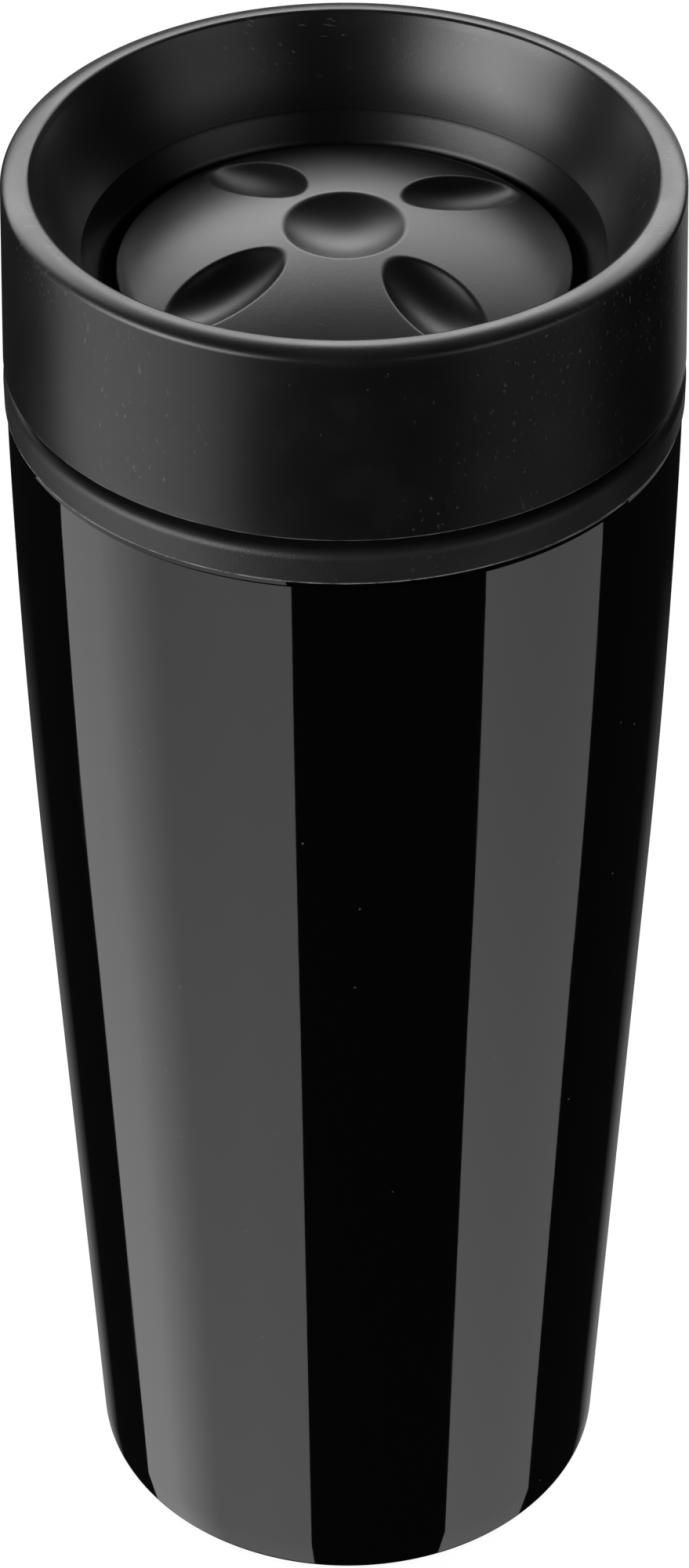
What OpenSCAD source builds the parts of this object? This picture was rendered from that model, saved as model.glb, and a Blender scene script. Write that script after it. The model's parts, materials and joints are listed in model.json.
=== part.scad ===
// Insulated travel tumbler with a screw-on lid and a push-button 360 degree valve.
// +Z is up, the origin is the centre of the base, and all lengths are millimetres.

/* [Tumbler] */
// Height from the foot pad to the top of the lid's rim
total_h = 203.3; // [198:0.1:212]
// Outer radius of the steel body at its base
base_r = 34.85; // [34:0.05:35.4]
// Outer radius of the steel body below the collar
shoulder_r = 40.95; // [40.8:0.05:41]
// Rounding of the body's base edge
base_round = 0.7; // [0.7:0.1:1.4]
// Wall of the outer steel shell
shell_t = 0.6; // [0.5:0.05:0.8]
// Wall of the inner steel liner
liner_t = 0.5; // [0.4:0.05:0.6]
// Inside radius of the liner at its floor
liner_base_r = 29.8; // [28:0.1:30.5]
// Inside radius of the liner at the mouth
mouth_r = 34.4; // [34.3:0.05:34.5]

/* [Collar] */
// Outer radius of the plastic collar band
band_r = 41.2; // [41.1:0.05:41.3]
// Height of the collar band
band_h = 4.3; // [3.8:0.1:4.8]
// Open groove between the band and the lid
band_gap = 1.7; // [1.2:0.1:2]
// Starts of the lid thread
thread_starts = 3; // [3:1:3]
// Height from one thread ridge to the next
thread_pitch = 4; // [3.8:0.1:4.2]

/* [Lid] */
// Height of the lid's outside wall
lid_h = 24.7; // [24.2:0.1:25.7]
// Outer radius of the lid at its lower edge
lid_r = 41.1; // [40.9:0.05:41.2]
// How much narrower the lid is at its rim
lid_taper = 0.75; // [0.5:0.05:0.9]
// Radius of the rim's inner edge
rim_inner_r = 37.2; // [37:0.05:37.4]
// Radius of the drinking hole around the button
throat_r = 28.8; // [28.6:0.05:29]

/* [Button] */
// Radius of the button
button_r = 27.2; // [27:0.05:27.3]
// Height of the button's domed top above its edge
dome_rise = 5.4; // [5.2:0.1:5.6]
// Radius of the round dimple in the middle
dimple_r = 7.35; // [7:0.05:7.6]
// Depth of the round dimple
dimple_depth = 2.5; // [2.2:0.1:2.6]
// Number of finger scoops around the dimple
scoop_count = 4; // [3:1:4]
// Direction of the first scoop
scoop_start = 37; // [0:1:90]
// How far the button travels when it is pressed
travel = 5; // [4:0.1:5]

/* [Hidden] */
$fn = 96;
round_steps = 8;
gap = 0.15;            // between faces that meet but move apart

// Heights, all from the lower edge of the lid
lid_z = total_h - lid_h;
band_top_z = lid_z - band_gap;
shoulder_z = band_top_z - band_h;
neck_top_z = lid_z + 9.6;
flange_z = neck_top_z + 2.05;
flange_t = 1.75;

// Base
shell_bottom_z = 0.4;
base_lip_r = 31;
base_disc_z = 2.6;
base_disc_t = 0.6;
port_r = 7;
port_rise = 1.6;
port_hole_r = 0.9;
bead_r = 1.8;
bead_h = 0.8;
pad_r = 30.6;
getter_r = 5;
getter_h = 1.5;
getter_x = 19;

// Body taper: a straight cone bends upright through one long curve that ends at the shoulder
taper_h = 136.5;
taper_slope = (shoulder_r - base_r) / taper_h;
blend_half = 35.8;
shoulder_edge = 0.3;

// Liner, neck and foil
liner_floor_z = 8;
liner_corner_r = 6;
foil_t = 0.15;
foil_gap = 0.25;
foil_margin = 12;
shell_neck_r = mouth_r + liner_t + 0.1;
collar_bore_r = shell_neck_r + shell_t + 0.05;
upstand_r = 37.3;
band_round = 1.3;
shoulder_seal_in = 37.6;
shoulder_seal_out = 39.6;

// Thread
thread_lead = thread_starts * thread_pitch;
ridge_depth = 0.95;
ridge_root = 1.6;
ridge_tip = 0.7;
lug_root = 1.4;
lug_tip = 0.6;
lug_drop = 1.2;        // how far below its ridge a lug runs
ridge_sweep = 150;
lug_start = 65;
lug_sweep = 60;
ridge_z = lid_z + 2.4;
skirt_bore_r = 38.6;
sweep_step = 7.5;
root_bite = 0.5;

// Lid
rim_round = 1.3;
rim_edge_round = 0.9;
joint_r = 31.2;
joint_z = total_h - 10.6;
cover_wall = 2.3;
throat_edge_z = total_h - 14.1;
throat_wall = 2;
seat_z = lid_z - 5.9;
spigot_r = mouth_r - 0.4;
spigot_wall = 1.1;
spigot_depth = 4;
arm_count = 3;
arm_w = 3.2;
arm_top_z = seat_z + 6;
arm_h = 3.5;
hub_r = 10.6;
hub_bottom_z = seat_z - 0.7;
hub_floor_z = seat_z + 1.9;
hub_top_z = seat_z + 6.5;
cover_seal_r = 32.3;
cover_seal_wire = 0.55;

// Latch
stem_r = 4;
stem_bore_r = 4.05;
sleeve_r = 8.6;
sleeve_bore_r = 7.4;
sleeve_top_z = seat_z + 13.3;
crown_r = 5;
crown_t = 1.4;
tooth_count = 8;
tooth_h = 1;
sleeve_tooth_w = 2.2;
rotor_tooth_w = 1.6;
rotor_bore_r = 4.25;
rotor_r = 7.1;
rotor_face_z = sleeve_top_z - crown_t - tooth_h - 0.3;
rotor_t = 2.5;
stem_collar_r = 6;
stem_collar_t = 0.7;
stem_collar_top_z = rotor_face_z - rotor_t - 0.2;

// Button
dome_edge_r = button_r - 0.5;
dome_edge_z = total_h - 13;
dome_radius = (dome_edge_r * dome_edge_r + dome_rise * dome_rise) / (2 * dome_rise);
dome_centre_z = dome_edge_z + dome_rise - dome_radius;
button_round = 0.7;
button_wall = 1.6;
skirt_h = 5.6;
dimple_ball_r = (dimple_r * dimple_r + dimple_depth * dimple_depth) / (2 * dimple_depth);
dimple_rim_z = dome_centre_z + sqrt(dome_radius * dome_radius - dimple_r * dimple_r);
dimple_floor_z = dimple_rim_z - dimple_depth;
scoop_mid_r = 17.6;
scoop_half_l = 9.6;
scoop_half_w = 4.7;
scoop_depth = 2.6;
scoop_core_r = (scoop_half_w * scoop_half_w + scoop_depth * scoop_depth) / (2 * scoop_depth);
scoop_arc_r = (scoop_half_l * scoop_half_l + scoop_depth * scoop_depth) / (2 * scoop_depth);
scoop_tilt = asin(scoop_mid_r / dome_radius);
stem_top_z = dimple_floor_z - 1.4;
stem_spigot_r = 2.4;
stem_spigot_h = 0.8;

// Spring and valve
spring_wire = 1.1;
spring_mean_r = 9.8;
spring_turns = 5;
spring_top_z = dome_edge_z + 1.5;
seat_ring_in = 9;
seat_ring_out = 10.7;
plate_r = 30.2;
plate_t = 2.1;
plate_top_z = seat_z - 1.2;
seal_in_r = 27.4;
seal_out_r = 31;
screw_r = 1.5;
screw_head_r = 3.2;
screw_head_h = 2;
screw_l = 9;

// Radius of the body's outside at a height, on the straight cone
function cone_r(z) = base_r + taper_slope * (z - shell_bottom_z);

// Points of an arc about c, from angle a0 to a1
function arc(c, r, a0, a1, steps = round_steps) =
    [for (i = [0 : steps]) c + r * [cos(a0 + (a1 - a0) * i / steps), sin(a0 + (a1 - a0) * i / steps)]];

// Points in the opposite order
function reversed(points) = [for (i = [len(points) - 1 : -1 : 0]) points[i]];

// Body's outside from the base edge to the shoulder, moved inwards by inset
function body_side(inset) =
    let (z0 = shell_bottom_z,
         bend_z = shell_bottom_z + taper_h - blend_half,
         edge_z = shoulder_z - inset - shoulder_edge,
         round_r = base_round - inset / 2)
    concat(
        [[base_lip_r, z0 + inset]],
        arc([cone_r(z0 + base_round) - inset - round_r, z0 + inset + round_r],
            round_r, -90, -atan(taper_slope)),
        [for (i = [0 : round_steps])
            let (rise = (edge_z - bend_z) * i / round_steps)
            [cone_r(bend_z) + taper_slope * rise
                 - rise * rise * taper_slope / (4 * blend_half) - inset, bend_z + rise]],
        [[shoulder_r - inset - shoulder_edge, shoulder_z - inset],
         [shell_neck_r + shell_t - inset, shoulder_z - inset]]);

// Liner's inside from the middle of the floor to the mouth, moved outwards by grow
function liner_side(grow) =
    let (c = liner_corner_r + grow, z0 = liner_floor_z + liner_t - grow)
    concat(
        [[0, z0]],
        arc([liner_base_r - liner_corner_r, z0 + c], c, -90, 0),
        [[mouth_r + grow, shoulder_z - 1], [mouth_r + grow, neck_top_z - 0.6]]);

// Funnel from the rim's inner edge to the joint between cover and insert: a shallow hollow curve
function funnel_r(z) =
    let (t = (z - joint_z) / (total_h - joint_z))
    joint_r + (rim_inner_r - joint_r) * (t + 0.12 * sin(180 * t) * (1 - t));

// A ridge that winds up a cylinder: a trapezium swept along a helix
module helix_ridge(wall_r, depth, root_w, tip_w, sweep, start_z) {
    steps = ceil(sweep / sweep_step);
    bite = depth > 0 ? -root_bite : root_bite;
    section = [[bite, -root_w / 2], [depth, -tip_w / 2], [depth, tip_w / 2], [bite, root_w / 2]];
    points = [for (i = [0 : steps], p = section)
        let (a = sweep * i / steps, r = wall_r + p[0], z = start_z + thread_lead * a / 360 + p[1])
        [r * cos(a), r * sin(a), z]];
    sides = [for (i = [0 : steps - 1], k = [0 : 3])
        let (a = 4 * i + k, b = 4 * i + (k + 1) % 4)
        [a, a + 4, b + 4, b]];
    ends = [[0, 1, 2, 3], [4 * steps + 3, 4 * steps + 2, 4 * steps + 1, 4 * steps]];
    faces = concat(sides, ends);
    polyhedron(points, depth > 0 ? [for (f = faces) reversed(f)] : faces);
}

// Repeats its children evenly about the axis
module ring_of(count, start = 0) {
    for (i = [0 : count - 1]) rotate([0, 0, start + i * 360 / count]) children();
}

// A flat ring
module ring(out_r, in_r, z, h) {
    translate([0, 0, z])
        rotate_extrude()
            translate([in_r, 0]) square([out_r - in_r, h]);
}

// Lacquered steel outer wall, turned in under the base and up into the neck
module outer_shell() {
    outer = concat(body_side(0), [[shell_neck_r + shell_t, neck_top_z - 0.6]]);
    inner = concat(body_side(shell_t), [[shell_neck_r, neck_top_z - 0.6]]);
    color("black") rotate_extrude() polygon(concat(outer, reversed(inner)));
}

// Steel cup that holds the drink, with its rim rolled over the shell's neck
module inner_liner() {
    rim_z = neck_top_z - 0.6;
    color("silver") union() {
        rotate_extrude() polygon(concat(liner_side(0), reversed(liner_side(liner_t))));
        ring(collar_bore_r - 0.05, mouth_r, rim_z, liner_t);
    }
}

// Steel disc that closes the vacuum space, with the port in its middle
module shell_base() {
    low = base_disc_z;
    edge_r = cone_r(low) - shell_t - 0.3;
    color("silver") rotate_extrude() polygon([
        [port_hole_r, low + port_rise], [port_r - 2, low + port_rise], [port_r, low],
        [edge_r, low], [edge_r, low + base_disc_t], [port_r + 0.3, low + base_disc_t],
        [port_r - 1.7, low + port_rise + base_disc_t], [port_hole_r, low + port_rise + base_disc_t]]);
}

// Getter pellet in its holder, on the vacuum side of the base
module getter() {
    color("dimgray") translate([getter_x, 0, base_disc_z + base_disc_t])
        difference() {
            cylinder(r = getter_r, h = getter_h);
            translate([0, 0, getter_h - 0.5]) cylinder(r = getter_r - 1, h = 1);
        }
}

// Glass bead that seals the vacuum port
module vacuum_seal() {
    plug_r = port_hole_r - 0.03;
    color("steelblue") translate([0, 0, base_disc_z + port_rise]) union() {
        translate([0, 0, -bead_h]) cylinder(r = bead_r, h = bead_h);
        cylinder(r = plug_r, h = base_disc_t);
    }
}

// Bright foil wrapped round the liner to hold back radiant heat
module heat_foil() {
    low_z = liner_floor_z + foil_margin;
    high_z = shoulder_z - foil_margin;
    slope = (mouth_r - liner_base_r) / (shoulder_z - 1 - liner_floor_z - liner_t - liner_corner_r);
    start_z = liner_floor_z + liner_t + liner_corner_r;
    low_r = liner_base_r + liner_t + foil_gap + slope * (low_z - start_z);
    high_r = liner_base_r + liner_t + foil_gap + slope * (high_z - start_z);
    color("gainsboro") rotate_extrude() polygon([
        [low_r, low_z], [low_r + foil_t, low_z], [high_r + foil_t, high_z], [high_r, high_z]]);
}

// Plastic collar bonded over the steel neck: the visible band and the threaded upstand
module neck_collar() {
    low = shoulder_z + 0.05;
    outline = concat(
        [[collar_bore_r, low], [band_r, low]],
        arc([band_r - band_round, band_top_z - band_round], band_round, 0, 90),
        [[upstand_r, band_top_z], [upstand_r, neck_top_z - 0.5], [upstand_r - 0.5, neck_top_z],
         [collar_bore_r, neck_top_z]]);
    color("dimgray") union() {
        difference() {
            rotate_extrude() polygon(outline);
            ring(shoulder_seal_out + 0.1, shoulder_seal_in - 0.1, low - 1, 2);
        }
        ring_of(thread_starts)
            helix_ridge(upstand_r, ridge_depth, ridge_root, ridge_tip, ridge_sweep, ridge_z);
    }
}

// Seal under the collar band, on the shell's shoulder
module collar_seal() {
    color("gray") ring(shoulder_seal_out, shoulder_seal_in, shoulder_z + 0.02, 1);
}

// Silicone pad that the tumbler stands on
module foot_pad() {
    color("darkslategray") difference() {
        cylinder(r = pad_r, h = base_disc_z);
        translate([0, 0, base_disc_z - 1]) cylinder(r = port_r, h = 2);
        ring(pad_r - 2, pad_r - 5, -1, 1.4);
    }
}

// Face seal between the lid and the mouth
module lid_gasket() {
    color("gray") ring(upstand_r - 0.4, mouth_r + 0.3, neck_top_z + gap, flange_z - neck_top_z - 2 * gap);
}

// Outside wall, rim and upper funnel of the lid, with the thread lugs inside its skirt
module lid_cover() {
    top_r = lid_r - lid_taper;
    funnel_steps = 10;
    shell_slope = (total_h - joint_z) / (rim_inner_r - joint_r);
    under_top_z = joint_z + (skirt_bore_r - joint_r - cover_wall) * shell_slope;
    funnel_top_z = total_h - rim_edge_round;
    outline = concat(
        [[skirt_bore_r + 0.8, lid_z], [lid_r - 0.15, lid_z], [lid_r, lid_z + 0.15]],
        arc([top_r - rim_round, total_h - rim_round], rim_round, 0, 90),
        arc([funnel_r(funnel_top_z) + rim_edge_round, funnel_top_z], rim_edge_round, 90, 165),
        [for (i = [1 : funnel_steps])
            let (z = funnel_top_z + (joint_z - funnel_top_z) * i / funnel_steps)
            [funnel_r(z), z]],
        [[joint_r + cover_wall, joint_z], [skirt_bore_r, under_top_z], [skirt_bore_r, lid_z + 0.8]]);
    color("darkslategray") union() {
        difference() {
            rotate_extrude() polygon(outline);
            translate([0, 0, joint_z]) rotate_extrude()
                translate([cover_seal_r, 0]) circle(r = cover_seal_wire + 0.03);
        }
        ring_of(thread_starts, lug_start)
            helix_ridge(skirt_bore_r, -ridge_depth, lug_root, lug_tip, lug_sweep,
                        ridge_z - lug_drop + thread_lead * lug_start / 360);
    }
}

// Lower funnel, drinking hole, valve seat and the spider that carries the latch
module lid_insert() {
    funnel_h = joint_z - throat_edge_z;
    funnel_steps = 5;
    outline = concat(
        [[joint_r, joint_z]],
        [for (i = [1 : funnel_steps])
            let (t = i / funnel_steps)
            [joint_r + (throat_r - joint_r) * (0.7 * t + 0.3 * t * t), joint_z - funnel_h * t]],
        [[throat_r, seat_z + 0.5], [throat_r + 0.5, seat_z], [throat_r + throat_wall, seat_z],
         [throat_r + throat_wall, flange_z], [spigot_r - spigot_wall, flange_z],
         [spigot_r - spigot_wall, flange_z - spigot_depth], [spigot_r, flange_z - spigot_depth],
         [spigot_r, flange_z], [skirt_bore_r - 0.02, flange_z], [skirt_bore_r - 0.02, flange_z + flange_t],
         [joint_r + cover_wall, flange_z + flange_t], [joint_r + cover_wall, joint_z]]);
    color("darkslategray") difference() {
        union() {
            difference() {
                rotate_extrude() polygon(outline);
                translate([0, 0, joint_z]) rotate_extrude()
                    translate([cover_seal_r, 0]) circle(r = cover_seal_wire + 0.03);
            }
            translate([0, 0, hub_bottom_z]) cylinder(r = hub_r, h = hub_top_z - hub_bottom_z);
            ring_of(arm_count, 90)
                translate([hub_r - 1, -arm_w / 2, arm_top_z - arm_h])
                    cube([throat_r - hub_r + 2, arm_w, arm_h]);
        }
        translate([0, 0, hub_bottom_z - 1]) cylinder(r = stem_bore_r, h = 20);
        translate([0, 0, hub_floor_z]) cylinder(r = sleeve_r, h = 20);
    }
}

// Ring that keeps liquid out of the joint between cover and insert
module cover_seal() {
    color("gray") translate([0, 0, joint_z]) rotate_extrude()
        translate([cover_seal_r, 0]) circle(r = cover_seal_wire);
}

// A ring of teeth for the latch; they point up, from the height z
module crown_teeth(width, z) {
    ring_of(tooth_count)
        translate([0, 0, z]) rotate([90, 0, 90])
            linear_extrude(height = 12)
                polygon([[-width / 2, -0.2], [width / 2, -0.2], [0.2, tooth_h], [-0.2, tooth_h]]);
}

// Fixed sleeve of the latch, with its crown of teeth pointing down
module cam_sleeve() {
    low = hub_floor_z;
    color("white") union() {
        ring(sleeve_r - 0.02, sleeve_bore_r, low, sleeve_top_z - low);
        ring(sleeve_r - 0.02, crown_r, sleeve_top_z - crown_t, crown_t);
        intersection() {
            ring(sleeve_r - 0.5, crown_r, low, sleeve_top_z - low);
            rotate([0, 0, 180 / tooth_count])
                translate([0, 0, sleeve_top_z - crown_t])
                    mirror([0, 0, 1]) crown_teeth(sleeve_tooth_w, 0);
        }
    }
}

// Compression spring that lifts the button and shuts the valve
module return_spring() {
    wire_sides = 8;
    rings_per_turn = 24;
    low_z = hub_top_z + spring_wire / 2;
    high_z = spring_top_z - spring_wire / 2;
    rings = spring_turns * rings_per_turn;
    points = [for (i = [0 : rings], k = [0 : wire_sides - 1])
        let (a = 360 * i / rings_per_turn,
             b = 360 * k / wire_sides,
             r = spring_mean_r + spring_wire / 2 * cos(b),
             z = low_z + (high_z - low_z) * i / rings + spring_wire / 2 * sin(b))
        [r * cos(a), r * sin(a), z]];
    sides = [for (i = [0 : rings - 1], k = [0 : wire_sides - 1])
        let (a = wire_sides * i + k, b = wire_sides * i + (k + 1) % wire_sides)
        [a, b, b + wire_sides, a + wire_sides]];
    first = [for (k = [wire_sides - 1 : -1 : 0]) k];
    last = [for (k = [0 : wire_sides - 1]) wire_sides * rings + k];
    color("silver") polyhedron(points, concat(sides, [first, last]));
}

// Round dimple, grown by more than its own size to shape the wall under it
module dimple(more) {
    translate([0, 0, dimple_floor_z + dimple_ball_r]) sphere(r = dimple_ball_r + more);
}

// Finger scoops: lemon-shaped cutters laid along the dome
module scoops(more) {
    half_l = sqrt(scoop_arc_r * scoop_arc_r - pow(scoop_arc_r - scoop_core_r, 2)) + more + 1;
    lift = scoop_core_r - scoop_depth;
    ring_of(scoop_count, scoop_start)
        translate([0, 0, dome_centre_z])
            rotate([0, scoop_tilt, 0])
                translate([0, 0, dome_radius + lift])
                    rotate([0, 90, 0])
                        rotate_extrude()
                            intersection() {
                                translate([scoop_core_r - scoop_arc_r, 0]) circle(r = scoop_arc_r + more);
                                translate([0, -half_l]) square([scoop_core_r + more + 1, 2 * half_l]);
                            }
}

// Domed body of the button or, with an inset, the hollow inside it
module dome_body(inset) {
    side_r = button_r - inset;
    corner = button_round;
    low = dome_edge_z - skirt_h - (inset > 0 ? 1 : 0);
    edge_z = dome_edge_z - inset;
    dome_r = dome_radius - inset;
    edge_a = acos((dome_edge_r - inset) / dome_r);
    outline = concat(
        [[0, low], [side_r, low]],
        arc([side_r - corner, edge_z - corner], corner, 0, 45, 4),
        arc([0, dome_centre_z], dome_r, edge_a + 0.6, 90, 16));
    rotate_extrude() polygon(outline);
}

// The domed push button that the thumb presses
module press_button() {
    color("dimgray") union() {
        difference() {
            dome_body(0);
            difference() {
                dome_body(button_wall);
                scoops(button_wall);
                dimple(1.4);
            }
            scoops(0);
            dimple(0);
            translate([0, 0, stem_top_z - 1]) cylinder(r = stem_spigot_r + 0.02, h = 1 + stem_spigot_h);
        }
        ring(seat_ring_out, seat_ring_in, spring_top_z, 1.6);
    }
}

// Stem that ties the button to the valve plate, with the shoulder that carries the rotor
module button_stem() {
    foot_z = plate_top_z;
    color("white") difference() {
        union() {
            translate([0, 0, foot_z]) cylinder(r = stem_r, h = stem_top_z - foot_z);
            translate([0, 0, stem_top_z - 0.1]) cylinder(r = stem_spigot_r, h = stem_spigot_h);
            translate([0, 0, stem_collar_top_z - stem_collar_t])
                cylinder(r = stem_collar_r, h = stem_collar_t);
        }
        translate([0, 0, foot_z - 1]) cylinder(r = screw_r + 0.02, h = screw_l);
    }
}

// Disc that closes the drinking hole from below
module valve_plate() {
    low = plate_top_z - plate_t;
    outline = [[screw_r + 0.02, low], [plate_r - 1, low], [plate_r, low + 1], [plate_r, plate_top_z],
               [screw_r + 0.02, plate_top_z]];
    color("darkslategray") union() {
        rotate_extrude() polygon(outline);
        ring_of(6) translate([7, -0.6, low - 0.8]) cube([18, 1.2, 1]);
    }
}

// Silicone ring on the plate that meets the lower edge of the drinking hole
module valve_seal() {
    color("gray") ring(seal_out_r, seal_in_r, plate_top_z, seat_z - gap - plate_top_z);
}

// Screw that holds the plate on the stem
module plate_screw() {
    head_z = plate_top_z - plate_t - screw_head_h;
    socket_r = 1.45;
    color("silver") difference() {
        union() {
            translate([0, 0, head_z]) cylinder(r = screw_head_r, h = screw_head_h);
            translate([0, 0, head_z]) cylinder(r = screw_r, h = screw_head_h + screw_l - 1);
        }
        translate([0, 0, head_z - 1]) cylinder(r = socket_r, h = 2.2, $fn = 6);
    }
}

// Toothed ring of the latch, which turns a step as the button goes down
module latch_rotor() {
    low = rotor_face_z - rotor_t;
    color("white") union() {
        ring(rotor_r, rotor_bore_r, low, rotor_t);
        intersection() {
            ring(rotor_r, rotor_bore_r + 0.9, low, rotor_t + tooth_h);
            crown_teeth(rotor_tooth_w, rotor_face_z);
        }
    }
}

outer_shell();
inner_liner();
shell_base();
getter();
vacuum_seal();
heat_foil();
neck_collar();
collar_seal();
foot_pad();
lid_gasket();
lid_cover();
lid_insert();
cover_seal();
cam_sleeve();
return_spring();
press_button();
button_stem();
valve_plate();
valve_seal();
plate_screw();
latch_rotor();
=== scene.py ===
"""The looks of an insulated tumbler with a screw-on lid and a push-button valve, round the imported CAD."""

import json
import math

import bpy
import numpy as np
from mathutils import Euler, Matrix, Vector

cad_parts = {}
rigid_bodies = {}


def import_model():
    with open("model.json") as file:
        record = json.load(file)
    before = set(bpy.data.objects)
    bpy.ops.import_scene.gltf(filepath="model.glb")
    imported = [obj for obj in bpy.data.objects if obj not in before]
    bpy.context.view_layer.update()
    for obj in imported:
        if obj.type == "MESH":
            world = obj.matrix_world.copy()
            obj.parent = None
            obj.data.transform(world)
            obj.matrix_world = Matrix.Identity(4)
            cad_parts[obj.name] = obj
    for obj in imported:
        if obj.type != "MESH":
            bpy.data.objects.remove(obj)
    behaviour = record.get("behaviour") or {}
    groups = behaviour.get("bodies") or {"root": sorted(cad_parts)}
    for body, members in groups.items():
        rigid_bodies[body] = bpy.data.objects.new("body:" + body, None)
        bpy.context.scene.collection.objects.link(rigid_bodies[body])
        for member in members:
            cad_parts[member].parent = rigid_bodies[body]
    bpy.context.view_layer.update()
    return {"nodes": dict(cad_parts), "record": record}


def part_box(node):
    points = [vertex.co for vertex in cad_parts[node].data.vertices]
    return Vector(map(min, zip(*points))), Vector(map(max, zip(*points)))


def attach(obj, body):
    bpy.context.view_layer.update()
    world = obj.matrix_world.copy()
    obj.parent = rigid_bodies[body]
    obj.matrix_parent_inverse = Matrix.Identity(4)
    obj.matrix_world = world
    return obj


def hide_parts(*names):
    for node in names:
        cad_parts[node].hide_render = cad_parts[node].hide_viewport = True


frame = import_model()

MM = 0.001
AROUND = 256          # steps round a lathed piece
SMOOTH_ANGLE = math.radians(28)
SKIN = 0.01           # mm that a lathed piece stays inside the widest radius of its solid

# ---------------------------------------------------------------- sizes, in millimetres

LID_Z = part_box("lid_cover")[0].z / MM
TOP_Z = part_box("lid_cover")[1].z / MM
BAND_TOP_Z = LID_Z - 1.7
SHOULDER_Z = BAND_TOP_Z - 4.3
NECK_TOP_Z = LID_Z + 9.6
FLANGE_Z = NECK_TOP_Z + 2.05
FLANGE_T = 1.75
SEAT_Z = LID_Z - 5.9
SHELL_BOTTOM_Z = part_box("outer_shell")[0].z / MM

BASE_R = 34.85
SHOULDER_R = 40.95
BASE_ROUND = 0.7
BASE_LIP_R = 31.0
SHELL_T = 0.6
LINER_T = 0.5
LINER_BASE_R = 29.8
LINER_FLOOR_Z = 8.0
LINER_CORNER_R = 6.0
MOUTH_R = 34.4
TAPER_H = 136.5
BLEND_HALF = 35.8
SHELL_NECK_R = MOUTH_R + LINER_T + 0.1
COLLAR_BORE_R = SHELL_NECK_R + SHELL_T + 0.05
UPSTAND_R = 37.3
BAND_R = 41.2
BAND_ROUND = 1.3

THREAD_LEAD = 12.0
THREAD_STARTS = 3
RIDGE_DEPTH = 0.95
RIDGE_Z = LID_Z + 2.4
LUG_DROP = 1.2
LUG_START = 65

LID_R = 41.1
LID_TOP_R = LID_R - 0.75
LID_FOOT_ROUND = 0.2
SKIRT_BORE_R = 38.6
RIM_INNER_R = 37.2
RIM_ROUND = 1.4       # height of the rim's outer rounding
RIM_ROUND_W = 2.4     # and its width
RIM_EDGE_ROUND = 0.6
JOINT_R = 31.2
JOINT_Z = TOP_Z - 10.6
COVER_WALL = 2.3
THROAT_R = 28.8
THROAT_Z = TOP_Z - 14.1
THROAT_WALL = 2.0
SPIGOT_R = MOUTH_R - 0.4
SPIGOT_WALL = 1.1
SPIGOT_DEPTH = 4.0
SPIGOT_BEVEL = 0.3
HUB_R = 10.6
ARM_W = 3.2
ARM_ROUND = 0.4
ARM_COUNT = 3

BUTTON_R = 27.2
BUTTON_ROUND = 0.7
BUTTON_WALL = 1.6
BUTTON_SKIRT = 5.6
DOME_EDGE_R = BUTTON_R - 0.5
DOME_EDGE_Z = TOP_Z - 13
DOME_RISE = 5.4
DIMPLE_R = 7.35
DIMPLE_DEPTH = 2.5
SCOOP_COUNT = 4
SCOOP_START = math.radians(37)
SCOOP_MID_R = 17.6
SCOOP_HALF_L = 9.6
SCOOP_HALF_W = 4.7
SCOOP_DEPTH = 2.6

SPRING_MEAN_R = 9.8
SPRING_WIRE_R = 0.55
SPRING_TURNS = 5

# ---------------------------------------------------------------- meshes


def arc(centre_r, centre_z, radius, start, end, steps=8):
    """Points (r, z) of an arc in the half plane; angles in degrees."""
    angles = np.radians(np.linspace(start, end, steps + 1))
    return [(centre_r + radius * math.cos(a), centre_z + radius * math.sin(a)) for a in angles]


def make_object(name, points, faces, sharp=SMOOTH_ANGLE):
    """A shaded mesh object from points in millimetres."""
    mesh = bpy.data.meshes.new(name)
    mesh.from_pydata([(x * MM, y * MM, z * MM) for x, y, z in points], [], faces)
    mesh.validate()
    mesh.shade_smooth()
    mesh.set_sharp_from_angle(angle=sharp)
    piece = bpy.data.objects.new(name, mesh)
    bpy.context.scene.collection.objects.link(piece)
    return piece


def ring_faces(rows, around, first=0):
    """Quads between successive rings of points, the first ring starting at point number first."""
    faces = []
    for i in range(rows - 1):
        a, b = first + i * around, first + (i + 1) * around
        for k in range(around):
            n = (k + 1) % around
            faces.append((a + k, b + k, b + n, a + n))
    return faces


def lathe(name, outline, around=AROUND):
    """Turns a closed outline of (r, z) points, listed anticlockwise, about the axis."""
    on_axis = [i for i, (r, z) in enumerate(outline) if r < 1e-6]
    angles = np.linspace(0, 2 * math.pi, around, endpoint=False)
    points, faces, first = [], [], []
    for r, z in outline:
        first.append(len(points))
        if r < 1e-6:
            points.append((0, 0, z))
        else:
            points += [(r * math.cos(a), r * math.sin(a), z) for a in angles]
    count = len(outline)
    for i in range(count):
        j = (i + 1) % count
        if i in on_axis and j in on_axis:
            continue
        for k in range(around):
            n = (k + 1) % around
            a = [first[i]] if i in on_axis else [first[i] + k, first[i] + n]
            b = [first[j]] if j in on_axis else [first[j] + n, first[j] + k]
            faces.append(tuple(a + b))
    return make_object(name, points, faces)


def inset_outline(outline):
    """The outline with its widest part drawn in by a hair, so that it stays within its solid's box."""
    widest = max(r for r, z in outline)
    return [(min(r, widest - SKIN), z) for r, z in outline]


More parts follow.
